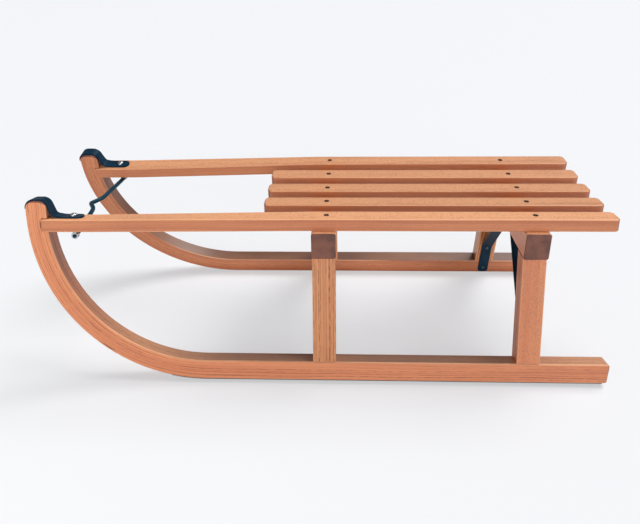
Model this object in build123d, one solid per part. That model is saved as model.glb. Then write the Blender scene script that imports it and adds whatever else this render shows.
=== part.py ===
from build123d import *
import os
from math import asin, cos, degrees, radians, sin, tan

# Frame: +X runs to the tail, the horns are at -X, +Z is up, and the origin is on the ground
# under the middle of the footprint. Every value is in millimetres or degrees.

# Driving dimensions of the whole sled
LENGTH = 1000.0
SEAT_TOP = 294.0         # top of the middle slat, the lowest of the five
LEAN = 12.0              # each runner and its legs lean in by this much at the top
EASE = 1.5               # easing of the long wooden edges
IRON = 3.0               # thickness of the flat iron
THROUGH = 100.0          # length of a cutter that goes right through a piece

# Seat slats
SLAT_THICK = 22.0
SLAT_WIDTH = 34.0
HOLLOW_RADIUS = 1500.0   # of the seat's shallow hollow, which the beams' tops follow
HORN_SLAT_MID = 117.5    # from the middle line to the middle of an outer slat, at its horn
OUTER_SLAT_MID = 122.0   # and over the yokes
HORN_SLAT_DROP = 2.0     # how much lower than the middle slat it lies at its horn
INNER_SLAT_PITCH = 61.0
SLAT_TAIL_GAP = 7.0      # from the runners' tails to the slats' rear ends
INNER_SLAT_PAST = 107.0  # how far an inner slat runs on ahead of the front yoke's middle
SLAT_CORNER = 9.0        # rounding of a slat's end corners, seen from above

# Runners, each bent from one bar
RUNNER_WIDTH = 29.0
RUNNER_DEEP = 35.0
HORN_RISE = 30.9         # from the slat's top to the horn's tip, up the leaning plane
HORN_STRAIGHT = 16.0     # straight end of the horn, above the bend
HORN_TIP_ROUND = 13.0
TAIL_UNDERCUT = 3.0
TAIL_ROUND = 4.0
NOTCH_DEEP = 8.0         # how far an outer slat's end is let into the horn's back
NOTCH_GAP = 1.3          # left in front of and above a slat's end in its notch

# Steel shoe under each runner
SHOE_WIDTH = 20.0
SHOE_TAIL_GAP = 9.0      # from the runner's tail to the shoe's end
SHOE_TURN_DEG = 12.0     # how much of the bend the shoe covers

# Yokes: a cross beam on two legs
REAR_YOKE_GAP = 139.0    # from the runners' tails to the rear yoke's middle
YOKE_PITCH = 352.0
BEAM_WIDE = 41.0
BEAM_DEEP = 41.5         # at its middle, where the hollow is lowest
BEAM_PAST_LEG = 5.8      # how far a beam's end stands out past its leg
BEAM_ROUND = 4.0
BEAM_END_EASE = 1.2
LEG_WIDE = 40.0
TENON_WIDE = 26.0
TENON_THICK = 12.0
TENON_LONG = 15.0

# Yoke brace, one bent flat iron under each beam
BRACE_WIDTH = 21.0
BRACE_FOOT = 8.0         # its lower end, up the leaning plane
BRACE_KINK = 84.0        # where it leaves the leg, up the leaning plane
BRACE_LAND = 23.5        # half of its flat stretch under the beam
BRACE_BEND = 14.0
BRACE_END_ROUND = 6.0

# Horn cap, a strap from the horn's front over the tip and along the slat
CAP_WIDTH = 20.0
CAP_FRONT_LAP = 14.0     # how far it reaches down the horn's front
CAP_SLAT_LAP = 59.0      # how far it reaches back from the horn, along the slat
CAP_SLANT = 21.0         # of the stretch down from the tip, in degrees off the horn's back
CAP_HEEL = 3.0           # how far above the slat that stretch ends, at its own bend
CAP_HEEL_BEND = 9.0
CAP_LAND = 24.0          # where the strap comes to lie on the slat, from the horn's back
CAP_LAND_BEND = 40.0
CAP_END_ROUND = 9.5

# Pull bow, and the eye bolts that it turns in
BOW_BACK = 41.0          # from the horn's back to the rod's axis
BOW_DROP = 21.5          # from the slat's middle down to the rod's axis
BOW_RADIUS = 4.0
BOW_BUMP = 22.5          # how far the middle stands forward
BOW_BUMP_HALF = 22.0
BOW_REACH = 8.0          # how far the rod has come forward where that bump begins
BOW_STRAIGHT = 12.0      # straight stretch next to each eye
BOW_SIDE_BEND = 40.0
BOW_TIP_BEND = 7.0
BOW_END_RADIUS = 3.0     # of the turned-down ends, in the eyes
BOW_PAST_EYE = 2.0
EYE_RADIUS = 6.0
EYE_WIDTH = 6.0
EYE_PLAY = 0.3
SHOULDER_PLAY = 2.0      # keeps the bow's shoulders clear of the leaning shanks
BOLT_RADIUS = 3.0
BOLT_PLAY = 0.3
BOLT_ABOVE = 2.5         # thread above the cap, inside its dome nut
DOME_RADIUS = 6.0
DOME_HIGH = 4.5
DOME_SLOPE_HIGH = 3.0    # slope round its top, how far down and how far in
DOME_SLOPE_IN = 3.5
NUT_RADIUS = 5.8
NUT_HIGH = 3.5

# Places along the sled
TAIL_X = LENGTH / 2
HORN_FRONT = IRON - LENGTH / 2                 # the cap's iron stands in front of the wood
HORN_BACK = HORN_FRONT + RUNNER_DEEP
REAR_YOKE_X = TAIL_X - REAR_YOKE_GAP
FRONT_YOKE_X = REAR_YOKE_X - YOKE_PITCH
SLAT_REAR = TAIL_X - SLAT_TAIL_GAP
OUTER_SLAT_FRONT = HORN_BACK - NOTCH_DEEP
INNER_SLAT_FRONT = FRONT_YOKE_X - INNER_SLAT_PAST
CAP_REAR = HORN_BACK + CAP_SLAT_LAP
BOW_X = HORN_BACK + BOW_BACK
TWIST_FRONT = CAP_REAR + CAP_WIDTH / 2         # an outer slat leans with its horn up to here
TWIST_REAR = FRONT_YOKE_X - BEAM_WIDE / 2      # and lies level from here back

# Heights, and heights up the leaning plane
SIN, COS = sin(radians(LEAN)), cos(radians(LEAN))
FOOT_Z = SHOE_WIDTH / 2 * SIN                  # puts the shoe's inner edge on the ground
SLAT_MID_Z = SEAT_TOP - SLAT_THICK / 2         # of the middle slat
HORN_SLAT_Z = SLAT_MID_Z - HORN_SLAT_DROP      # and of an outer slat at its horn
BEAM_TOP = SEAT_TOP - SLAT_THICK               # of a beam at its middle
HOLLOW_Z = BEAM_TOP + HOLLOW_RADIUS            # the axis that the hollow is drawn round
BEAM_BOTTOM = BEAM_TOP - BEAM_DEEP
RUNNER_TOP = IRON + RUNNER_DEEP                # the wood stands on the shoe
LEG_TOP_UP = (BEAM_BOTTOM - FOOT_Z) / COS
SLAT_UP = (HORN_SLAT_Z - FOOT_Z) / COS
SLAT_TOP_UP = SLAT_UP + SLAT_THICK / 2
SLAT_UNDER_UP = SLAT_UP - SLAT_THICK / 2
CAP_TOP_UP = SLAT_TOP_UP + IRON
HORN_TIP = SLAT_TOP_UP + HORN_RISE
BEND_RADIUS = HORN_TIP - HORN_TIP_ROUND - HORN_STRAIGHT - IRON   # of the bar's outer face
BEND_X = HORN_FRONT + BEND_RADIUS              # where the flat run meets the bend
BOW_UP = SLAT_UP - BOW_DROP
BOW_Z = FOOT_Z + BOW_UP * COS

# Places across the sled
FOOT_Y = HORN_SLAT_MID + SLAT_UP * SIN         # the runner's middle on the ground
BEAM_HALF = FOOT_Y - LEG_TOP_UP * SIN + RUNNER_WIDTH / 2 / COS + BEAM_PAST_LEG
BOW_Y = FOOT_Y - BOW_UP * SIN                  # the middle of an eye

# Yokes by name, with the place of each along the sled
YOKES = {"front": FRONT_YOKE_X, "rear": REAR_YOKE_X}

# Sides by name, with the sign of Y on each
SIDES = {"left": -1, "right": 1}

# Inner slats by name, and all slats in order, with the middle of each across the sled
INNER_SLATS = {"inner_left": -INNER_SLAT_PITCH, "middle": 0.0, "inner_right": INNER_SLAT_PITCH}
SLAT_MIDDLES = [-OUTER_SLAT_MID, *INNER_SLATS.values(), OUTER_SLAT_MID]


def stand(shape, side):
    """Moves a piece from the upright frame, where Y points inboard, to its leaning place."""
    left = Pos(0, -FOOT_Y, FOOT_Z) * Rot(-LEAN, 0, 0) * shape
    return left if side < 0 else mirror(left, about=Plane.XZ)


def lean_point(across, up):
    """Y and Z of a point of the left side's leaning frame."""
    return -FOOT_Y + across * COS + up * SIN, FOOT_Z - across * SIN + up * COS


def hollow_turn(y):
    """How far a slat at a place across the sled is turned by the seat's hollow, in degrees."""
    return degrees(asin(y / HOLLOW_RADIUS))


def on_hollow(shape, y):
    """Swings a piece drawn on the middle line to its place across the seat's hollow."""
    return Pos(0, 0, HOLLOW_Z) * Rot(hollow_turn(y), 0, 0) * Pos(0, 0, -HOLLOW_Z) * shape


def rim_edges(solid, axis):
    """The edges round the two flat faces of a solid that look along an axis."""
    return [edge for face in solid.faces().filter_by(axis) for edge in face.edges()]


def flat_iron(path, width, level):
    """A flat strip along a flat path. The level is the direction across the strip's width."""
    start = Plane(origin=path @ 0, x_dir=level, z_dir=path % 0)
    return sweep(start * Rectangle(width, IRON), path=path)


def round_end(strip, end, radius):
    """Rounds the two corners of a flat strip that lie nearest to one end of its path."""
    corners = strip.edges().filter_by(lambda edge: abs(edge.length - IRON) < IRON / 100)
    corners = corners.sort_by(lambda edge: (edge.center() - Vector(*end)).length)
    return fillet(corners[:2], radius)


def make_tenons(x):
    """The lower and upper tenons of a leg, in the upright frame."""
    lower = Pos(x, 0, RUNNER_TOP - TENON_LONG / 2) * Box(TENON_WIDE, TENON_THICK, TENON_LONG)
    upper = Pos(x, 0, LEG_TOP_UP) * Box(TENON_WIDE, TENON_THICK, 2 * TENON_LONG)
    return lower, upper


def make_runner(side):
    """One bent bar: flat run, wide bend and upright horn, with a notch and two mortises."""
    # Corners of the bar seen from the side, each with its rounding
    corners = {
        (TAIL_X - TAIL_UNDERCUT, IRON): TAIL_ROUND,
        (HORN_FRONT, IRON): BEND_RADIUS,
        (HORN_FRONT, HORN_TIP): HORN_TIP_ROUND,
        (HORN_BACK, HORN_TIP): HORN_TIP_ROUND,
        (HORN_BACK, RUNNER_TOP): BEND_RADIUS - RUNNER_DEEP,
        (TAIL_X, RUNNER_TOP): TAIL_ROUND,
        (TAIL_X, RUNNER_TOP - 2 * TAIL_ROUND): TAIL_ROUND,
    }
    outline = FilletPolyline(list(corners), radius=list(corners.values()), close=True)
    bar = extrude(make_face(Plane.XZ * outline), amount=RUNNER_WIDTH / 2, both=True)
    bar = chamfer(rim_edges(bar, Axis.Y), EASE)
    notch_front = OUTER_SLAT_FRONT - NOTCH_GAP
    notch_high = SLAT_THICK + NOTCH_GAP
    notch = Box(THROUGH, THROUGH, notch_high, align=(Align.MIN, Align.CENTER, Align.MIN))
    bar -= Pos(notch_front, 0, SLAT_UNDER_UP) * notch
    for x in YOKES.values():
        bar -= make_tenons(x)[0]
    return stand(bar, side)


def make_shoe(side):
    """The thin steel strip under a runner, from near the tail and up part of the bend."""
    flat = Line((TAIL_X - SHOE_TAIL_GAP, 0, IRON / 2), (BEND_X, 0, IRON / 2))
    turn = JernArc((0, 0), (-1, 0), BEND_RADIUS + IRON / 2, -SHOE_TURN_DEG)
    bend = Pos(BEND_X, 0, IRON / 2) * Rot(90, 0, 0) * turn
    return stand(flat_iron(Wire([flat, bend]), SHOE_WIDTH, (0, 1, 0)), side)


def make_level_slat(front, width, rounded_ends):
    """A level slat about the X axis, from a place along the sled to the slats' rear ends."""
    length = SLAT_REAR - front
    plan = Pos(front + length / 2, 0) * Rectangle(length, width)
    corners = plan.vertices().sort_by(Axis.X)[-2 * rounded_ends:]
    slat = extrude(fillet(corners, SLAT_CORNER), amount=SLAT_THICK / 2, both=True)
    rim = rim_edges(slat, Axis.Z)
    if rounded_ends == 1:
        rim = [edge for edge in rim if edge.center().X > front]
    return chamfer(rim, EASE)


def make_outer_slat(side):
    """A long slat that lies on the seat's hollow and twists to lean with its horn in front."""
    rear = on_hollow(Pos(0, 0, SLAT_MID_Z) * make_level_slat(TWIST_REAR, SLAT_WIDTH, 1), -OUTER_SLAT_MID)
    turn = radians(hollow_turn(-OUTER_SLAT_MID))
    reach = HOLLOW_Z - SLAT_MID_Z
    on_yokes = (reach * sin(turn), HOLLOW_Z - reach * cos(turn), -hollow_turn(-OUTER_SLAT_MID))
    at_horn = (-HORN_SLAT_MID, HORN_SLAT_Z, LEAN)
    # Sections of the slat's front stretch: place along the sled, then Y, Z and lean there
    sections = []
    for x, (y, z, lean) in {OUTER_SLAT_FRONT: at_horn, TWIST_FRONT: at_horn, TWIST_REAR: on_yokes}.items():
        across = (0, cos(radians(lean)), -sin(radians(lean)))
        section = chamfer(Rectangle(SLAT_WIDTH, SLAT_THICK).vertices(), EASE)
        sections.append(Plane(origin=(x, y, z), x_dir=across, z_dir=(1, 0, 0)) * section)
    slat = loft(sections, ruled=True) + rear
    slat -= stand(Pos(BOW_X, 0, SLAT_UP) * Cylinder(BOLT_RADIUS + BOLT_PLAY, THROUGH), -1)
    return slat if side < 0 else mirror(slat, about=Plane.XZ)


def make_inner_slat(y):
    """A short seat slat with rounded corners at both ends."""
    return on_hollow(Pos(0, 0, SLAT_MID_Z) * make_level_slat(INNER_SLAT_FRONT, SLAT_WIDTH, 2), y)


def hollow_corner(before, after):
    """Y and Z of the corner between the flats that two slats lie on."""
    half = radians(hollow_turn(after) - hollow_turn(before)) / 2
    middle = radians(hollow_turn(after) + hollow_turn(before)) / 2
    reach = HOLLOW_RADIUS / cos(half)
    return reach * sin(middle), HOLLOW_Z - reach * cos(middle)


def make_beam(x):
    """The cross beam of a yoke: a hollow top with a flat for each slat, and mortises for two legs."""
    corners = [hollow_corner(*pair) for pair in zip(SLAT_MIDDLES, SLAT_MIDDLES[1:])]
    turn = radians(hollow_turn(OUTER_SLAT_MID))
    slat_z = HOLLOW_Z - HOLLOW_RADIUS * cos(turn)
    end_z = slat_z + (BEAM_HALF - OUTER_SLAT_MID) * sin(turn) / cos(turn)
    left, right = [(-BEAM_HALF, BEAM_BOTTOM), (-BEAM_HALF, end_z)], [(BEAM_HALF, end_z), (BEAM_HALF, BEAM_BOTTOM)]
    outline = [*left, *corners, *right]
    profile = make_face(Plane.YZ * Polyline(*outline, close=True))
    beam = Pos(x, 0, 0) * extrude(profile, amount=BEAM_WIDE / 2, both=True)
    sides = [edge for edge in rim_edges(beam, Axis.X) if abs(edge.center().Y) < BEAM_HALF - BEAM_END_EASE]
    beam = fillet(sides, BEAM_ROUND)
    beam = chamfer(rim_edges(beam, Axis.Y), BEAM_END_EASE)
    for side in SIDES.values():
        beam -= stand(make_tenons(x)[1], side)
    return beam


def make_leg(x, side):
    """A leg in the leaning plane, square to the runner and cut level under the beam."""
    height = BEAM_TOP - RUNNER_TOP
    post = Pos(x, 0, RUNNER_TOP + height / 2) * Box(LEG_WIDE, RUNNER_WIDTH, height)
    post = fillet(post.edges().filter_by(Axis.Z), EASE)
    beam_space = Box(2 * LEG_WIDE, LENGTH, THROUGH, align=(Align.CENTER, Align.CENTER, Align.MIN))
    lower, upper = make_tenons(x)
    return stand(post, side) - Pos(x, 0, BEAM_BOTTOM) * beam_space + stand(lower, side) + stand(upper, side)


def make_brace(x):
    """The flat iron that ties a yoke: runner, leg, slant, beam, and down the other side."""
    across = (RUNNER_WIDTH + IRON) / 2
    half = [
        lean_point(across, BRACE_FOOT),
        lean_point(across, BRACE_KINK),
        (-BRACE_LAND, BEAM_BOTTOM - IRON / 2),
    ]
    points = [(x, y, z) for y, z in half] + [(x, -y, z) for y, z in reversed(half)]
    strip = flat_iron(FilletPolyline(points, radius=BRACE_BEND), BRACE_WIDTH, (1, 0, 0))
    strip = round_end(strip, points[0], BRACE_END_ROUND)
    return round_end(strip, points[-1], BRACE_END_ROUND)


def make_cap(side):
    """The strap that shields a horn's tip and holds the slat's front end to the horn."""
    half = IRON / 2
    tip_bend = HORN_TIP_ROUND + half
    top = HORN_TIP + half
    low = SLAT_TOP_UP + half
    slant_top = HORN_BACK - HORN_TIP_ROUND + tip_bend * tan(radians(90 - CAP_SLANT) / 2)
    heel = slant_top + (top - low - CAP_HEEL) * tan(radians(CAP_SLANT))
    points = [
        (HORN_FRONT - half, 0, HORN_TIP - CAP_FRONT_LAP),
        (HORN_FRONT - half, 0, top),
        (slant_top, 0, top),
        (heel, 0, low + CAP_HEEL),
        (HORN_BACK + CAP_LAND, 0, low),
        (CAP_REAR, 0, low),
    ]
    rounds = [tip_bend, tip_bend, CAP_HEEL_BEND, CAP_LAND_BEND]
    strap = flat_iron(FilletPolyline(points, radius=rounds), CAP_WIDTH, (0, 1, 0))
    strap = round_end(strap, points[-1], CAP_END_ROUND)
    strap -= Pos(BOW_X, 0, SLAT_TOP_UP) * Cylinder(BOLT_RADIUS + BOLT_PLAY, THROUGH)
    return stand(strap, side)


def make_eye_bolt(side):
    """A bolt through cap and slat, with an eye below that the pull bow turns in."""
    top_up = CAP_TOP_UP + BOLT_ABOVE
    shank = Pos(BOW_X, 0, (BOW_UP + top_up) / 2) * Cylinder(BOLT_RADIUS, top_up - BOW_UP)
    place = Pos(BOW_X, side * BOW_Y, BOW_Z) * Rot(90, 0, 0)
    eye = place * Cylinder(EYE_RADIUS, EYE_WIDTH)
    hole = place * Cylinder(BOW_END_RADIUS + EYE_PLAY, THROUGH)
    return stand(shank, side) + eye - hole


def make_dome_nut(side):
    """The low domed nut on top of a horn cap, closed over the end of the eye bolt."""
    nut = Cylinder(DOME_RADIUS, DOME_HIGH, align=(Align.CENTER, Align.CENTER, Align.MIN))
    crown = nut.faces().sort_by(Axis.Z)[-1]
    nut = chamfer(crown.edges(), DOME_SLOPE_HIGH, DOME_SLOPE_IN, reference=crown)
    nut -= Cylinder(BOLT_RADIUS, 2 * BOLT_ABOVE)
    return stand(Pos(BOW_X, 0, CAP_TOP_UP) * nut, side)


def make_lower_nut(side):
    """The plain hexagon nut between a slat and the eye below it."""
    nut = extrude(RegularPolygon(NUT_RADIUS, 6) - Circle(BOLT_RADIUS), amount=NUT_HIGH)
    return stand(Pos(BOW_X, 0, SLAT_UNDER_UP - NUT_HIGH) * nut, side)


def make_pull_bow():
    """The rod across the front, bent forward at its middle for a rope, with turned-down ends."""
    shoulder = BOW_Y - EYE_WIDTH / 2 - SHOULDER_PLAY
    half = [
        (BOW_X, -shoulder),
        (BOW_X, BOW_STRAIGHT - shoulder),
        (BOW_X - BOW_REACH, -BOW_BUMP_HALF),
        (BOW_X - BOW_BUMP, 0),
    ]
    points = half + [(x, -y) for x, y in reversed(half[:-1])]
    rounds = [BOW_SIDE_BEND, BOW_SIDE_BEND, BOW_TIP_BEND, BOW_SIDE_BEND, BOW_SIDE_BEND]
    path = Pos(0, 0, BOW_Z) * FilletPolyline(points, radius=rounds)
    bow = sweep(Plane(origin=path @ 0, z_dir=path % 0) * Circle(BOW_RADIUS), path=path)
    end_long = EYE_WIDTH + BOW_PAST_EYE + SHOULDER_PLAY
    end = Rot(90, 0, 0) * Cylinder(BOW_END_RADIUS, end_long)
    for side in SIDES.values():
        bow += Pos(BOW_X, side * (shoulder + end_long / 2), BOW_Z) * end
    return bow


def build():
    """Every piece of the sled by its node name."""
    pieces = {"pull_bow": make_pull_bow()}
    for name, y in INNER_SLATS.items():
        pieces["slat_" + name] = make_inner_slat(y)
    for side_name, side in SIDES.items():
        pieces["slat_outer_" + side_name] = make_outer_slat(side)
        pieces["runner_" + side_name] = make_runner(side)
        pieces["shoe_" + side_name] = make_shoe(side)
        pieces["horn_cap_" + side_name] = make_cap(side)
        pieces["eye_bolt_" + side_name] = make_eye_bolt(side)
        pieces["dome_nut_" + side_name] = make_dome_nut(side)
        pieces["lower_nut_" + side_name] = make_lower_nut(side)
    for yoke_name, x in YOKES.items():
        pieces["beam_" + yoke_name] = make_beam(x)
        pieces["brace_" + yoke_name] = make_brace(x)
        for side_name, side in SIDES.items():
            pieces["leg_" + yoke_name + "_" + side_name] = make_leg(x, side)
    return pieces


os.makedirs("parts", exist_ok=True)
for node, shape in build().items():
    export_step(shape, "parts/" + node + ".step")
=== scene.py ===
"""A wooden slatted sled: its finishes, small fasteners, floor, lamps and camera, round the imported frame."""

import logging
import math
from dataclasses import dataclass, field, replace
from enum import Enum
from typing import Any, Iterable, Sequence, Union

import bmesh
import bpy
from mathutils import Matrix, Vector


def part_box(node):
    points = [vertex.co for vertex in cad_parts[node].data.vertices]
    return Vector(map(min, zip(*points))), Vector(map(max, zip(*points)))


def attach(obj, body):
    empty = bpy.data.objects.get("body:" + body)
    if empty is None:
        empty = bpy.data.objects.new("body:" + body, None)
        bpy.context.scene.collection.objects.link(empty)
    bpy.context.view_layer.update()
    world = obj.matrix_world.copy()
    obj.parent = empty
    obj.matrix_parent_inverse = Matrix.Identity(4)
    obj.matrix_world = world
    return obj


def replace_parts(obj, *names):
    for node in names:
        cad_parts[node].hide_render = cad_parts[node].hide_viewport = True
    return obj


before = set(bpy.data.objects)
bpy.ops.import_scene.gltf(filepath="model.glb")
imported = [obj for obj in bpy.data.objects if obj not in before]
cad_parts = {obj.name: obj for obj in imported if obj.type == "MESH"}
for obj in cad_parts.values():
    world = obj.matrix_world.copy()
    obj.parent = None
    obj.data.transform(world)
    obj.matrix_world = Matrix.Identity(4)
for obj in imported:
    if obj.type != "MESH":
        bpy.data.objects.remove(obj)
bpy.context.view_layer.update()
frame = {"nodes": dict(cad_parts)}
MM = 0.001
log = logging.getLogger("sled")

Colour = tuple[float, float, float]
Value = Union["Term", float]
Nodes = dict[str, bpy.types.Object]
Ring = list[bmesh.types.BMVert]


def srgb(red: int, green: int, blue: int) -> Colour:
    """A colour given in screen values, as the linear values that shaders take."""

    def linear(level: int) -> float:
        """One channel as a linear value."""
        share = level / 255
        return share / 12.92 if share <= 0.04045 else ((share + 0.055) / 1.055) ** 2.4

    return linear(red), linear(green), linear(blue)


class Side(Enum):
    """The two sides of the sled, with the sign of Y on each."""

    LEFT = -1
    RIGHT = 1

    @property
    def word(self) -> str:
        """The side's name, as the nodes use it."""
        return self.name.lower()


class Cut(Enum):
    """How a bar was sawn from its log: the angle from its wide face to the log's middle, in degrees."""

    FLAT = 84.0
    RIFT = 48.0
    QUARTER = 8.0


class Term:
    """The output of a shader node, for use in Python expressions."""

    def __init__(self, bench: "Bench", socket: bpy.types.NodeSocket) -> None:
        """Keeps the socket and the bench that it belongs to."""
        self.bench = bench
        self.socket = socket

    def math(self, operation: str, *values: Value, clamp: bool = False) -> "Term":
        """Adds a Math node.

        Args:
            operation: The node's operation.
            values: Its inputs, in order.
            clamp: Whether the result is kept from 0 to 1.

        Returns:
            The node's output.
        """
        settings = {"operation": operation, "use_clamp": clamp}
        return self.bench.node("ShaderNodeMath", settings, dict(enumerate(values)))

    def __add__(self, other: Value) -> "Term":
        """The sum."""
        return self.math("ADD", self, other)

    def __radd__(self, other: Value) -> "Term":
        """The sum, with the number first."""
        return self.math("ADD", other, self)

    def __sub__(self, other: Value) -> "Term":
        """The difference."""
        return self.math("SUBTRACT", self, other)

    def __rsub__(self, other: Value) -> "Term":
        """The difference, with the number first."""
        return self.math("SUBTRACT", other, self)

    def __mul__(self, other: Value) -> "Term":
        """The product."""
        return self.math("MULTIPLY", self, other)

    def __rmul__(self, other: Value) -> "Term":
        """The product, with the number first."""
        return self.math("MULTIPLY", other, self)

    def __truediv__(self, other: Value) -> "Term":
        """The quotient."""
        return self.math("DIVIDE", self, other)

    def __neg__(self) -> "Term":
        """The value with its sign turned."""
        return self.math("MULTIPLY", self, -1.0)

    def __abs__(self) -> "Term":
        """The value without its sign."""
        return self.math("ABSOLUTE", self)

    def at_least(self, other: Value) -> "Term":
        """The larger of the two."""
        return self.math("MAXIMUM", self, other)

    def at_most(self, other: Value) -> "Term":
        """The smaller of the two."""
        return self.math("MINIMUM", self, other)

    def fraction(self) -> "Term":
        """The part after the point."""
        return self.math("FRACT", self)

    def clamped(self) -> "Term":
        """The value kept from 0 to 1."""
        return self.math("ADD", self, 0.0, clamp=True)

    def length_with(self, other: "Term") -> "Term":
        """The length of the arrow that has the two values as its sides."""
        return self.math("SQRT", self * self + other * other)

    def angle_with(self, other: "Term") -> "Term":
        """The angle whose tangent is this value over the other, in radians."""
        return self.math("ARCTAN2", self, other)

    def rise(self, low: float, high: float) -> "Term":
        """A soft step.

        Args:
            low: The value where the step starts from 0.
            high: The value where it reaches 1. It may be under low, for a falling step.

        Returns:
            The step's height, from 0 to 1.
        """
        settings = {"interpolation_type": "SMOOTHSTEP"}
        if low < high:
            return self.bench.node("ShaderNodeMapRange", settings, {0: self, 1: low, 2: high, 3: 0.0, 4: 1.0})
        return self.bench.node("ShaderNodeMapRange", settings, {0: self, 1: high, 2: low, 3: 1.0, 4: 0.0})


class Bench:
    """One material in the making: its node tree, and the ways of adding nodes to it."""

    EDGE_SAMPLES = 6

    def __init__(self, name: str) -> None:
        """Starts a material that has only its shader and output."""
        self.material = bpy.data.materials.new(name)
        self.material.use_nodes = True
        self.nodes = self.material.node_tree.nodes
        self.links = self.material.node_tree.links
        self.shader = self.nodes["Principled BSDF"]

    def feed(self, socket: bpy.types.NodeSocket, value: Union[Value, Sequence[float]]) -> None:
        """Gives a socket a link, a number or a colour."""
        if isinstance(value, Term):
            self.links.new(value.socket, socket)
        elif socket.type == "RGBA" and len(value) == 3:
            socket.default_value = (*value, 1.0)
        else:
            socket.default_value = value

    def node(
        self, kind: str, settings: dict[str, Any], inputs: dict[Union[int, str], Any], output: int = 0
    ) -> Term:
        """Adds a node.

        Args:
            kind: The node's type.
            settings: Its settings, set before its sockets.
            inputs: Values or links by socket number or name.
            output: The number of the output that is wanted.

        Returns:
            That output.
        """
        made = self.nodes.new(kind)
        for key, value in settings.items():
            setattr(made, key, value)
        for key, value in inputs.items():
            self.feed(made.inputs[key], value)
        return Term(self, made.outputs[output])

    def place(self) -> Term:
        """The point on the piece, in metres, in the piece's own frame."""
        return self.node("ShaderNodeTexCoord", {}, {}, output=3)

    def normal(self) -> Term:
        """The direction that the surface faces, in the piece's own frame."""
        world = self.node("ShaderNodeNewGeometry", {}, {}, output=1)
        settings = {"vector_type": "NORMAL", "convert_from": "WORLD", "convert_to": "OBJECT"}
        return self.node("ShaderNodeVectorTransform", settings, {0: world})

    def along(self, arrow: Term, direction: Sequence[float]) -> Term:
        """How far an arrow goes in a direction."""
        inputs = {0: arrow, 1: tuple(direction)}
        return self.node("ShaderNodeVectorMath", {"operation": "DOT_PRODUCT"}, inputs, output=1)

    def three(self) -> tuple[Term, ...]:
        """The point on the piece as its three values."""
        place = self.place()
        return tuple(self.along(place, axis) for axis in ((1, 0, 0), (0, 1, 0), (0, 0, 1)))

    def arrow(self, x: Value, y: Value, z: Value) -> Term:
        """An arrow from its three values."""
        return self.node("ShaderNodeCombineXYZ", {}, {0: x, 1: y, 2: z})

    def noise(self, place: Sequence[Value], detail: float = 2.0, roughness: float = 0.5) -> Term:
        """Soft noise from 0 to 1, with a cell of one unit of the place given."""
        inputs = {"Vector": self.arrow(*place), "Scale": 1.0, "Detail": detail, "Roughness": roughness}
        return self.node("ShaderNodeTexNoise", {"noise_dimensions": "3D"}, inputs)

    def specks(self, place: Sequence[Value]) -> Term:
        """The distance to the nearest of scattered points, one to a unit of the place given."""
        settings = {"voronoi_dimensions": "3D", "feature": "F1"}
        return self.node("ShaderNodeTexVoronoi", settings, {"Vector": self.arrow(*place), "Scale": 1.0})

    def blend(self, share: Value, under: Union[Term, Colour], over: Union[Term, Colour]) -> Term:
        """Lays one colour over another, by a share from 0 to 1."""
        settings = {"data_type": "RGBA", "blend_type": "MIX"}
        return self.node("ShaderNodeMix", settings, {0: share, 6: under, 7: over}, output=2)

    def tinted(self, colour: Union[Term, Colour], level: Value) -> Term:
        """A colour made lighter or darker by a level, where 1 leaves it as it is."""
        settings = {"operation": "SCALE"}
        return self.node("ShaderNodeVectorMath", settings, {0: colour, "Scale": level})

    def bump(self, height: Term, depth: float, strength: float, normal: Union[Term, None] = None) -> Term:
        """A surface relief.

        Args:
            height: The relief, from 0 to 1.
            depth: How deep a height of 1 is, in metres.
            strength: The share of the relief that shows.
            normal: A normal to start from.

        Returns:
            The normal of the surface with that relief.
        """
        inputs = {"Strength": strength, "Distance": depth, "Height": height}
        if normal is not None:
            inputs["Normal"] = normal
        return self.node("ShaderNodeBump", {}, inputs)

    def soft_edges(self, radius: float) -> Term:
        """The normal of the surface with its edges rounded."""
        return self.node("ShaderNodeBevel", {"samples": self.EDGE_SAMPLES}, {"Radius": radius})

    def finish(self, **sockets: Any) -> bpy.types.Material:
        """Feeds the shader's sockets, with _ for a space in their names, and returns the material."""
        for name, value in sockets.items():
            self.feed(self.shader.inputs[name.replace("_", " ")], value)
        return self.material


@dataclass(frozen=True)
class Lean:
    """The leaning plane of the runners, legs and horns, and how an upright piece is set into it."""

    degrees: float = 12.0
    foot_y: float = 0.176787
    foot_z: float = 0.002079

    def placing(self, side: Side) -> Matrix:
        """The placing of a piece drawn upright, with X along, Y inboard and Z up."""
        tilt = Matrix.Rotation(-math.radians(self.degrees), 4, "X")
        left = Matrix.Translation((0.0, -self.foot_y, self.foot_z)) @ tilt
        return left if side is Side.LEFT else Matrix.Diagonal((1.0, -1.0, 1.0, 1.0)) @ left

    def inboard(self, side: Side) -> Vector:
        """The direction across the plane, towards the sled's middle."""
        return (self.placing(side).to_3x3() @ Vector((0.0, 1.0, 0.0))).normalized()

    def up(self, side: Side) -> Vector:
        """The direction up the plane."""
        return (self.placing(side).to_3x3() @ Vector((0.0, 0.0, 1.0))).normalized()

    def foot(self, side: Side) -> Vector:
        """The plane's foot, under the middle of a runner."""
        return self.placing(side).to_translation()


@dataclass(frozen=True)
class Spot:
    """Where a point of the surface lies in a bar, in metres, and how squarely it faces each way."""

    along: Term
    wide: Term
    thick: Term
    faces_end: Term
    faces_wide: Term
    faces_thick: Term

    def values(self) -> tuple[Term, ...]:
        """All of them, in order."""
        return self.along, self.wide, self.thick, self.faces_end, self.faces_wide, self.faces_thick


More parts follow.
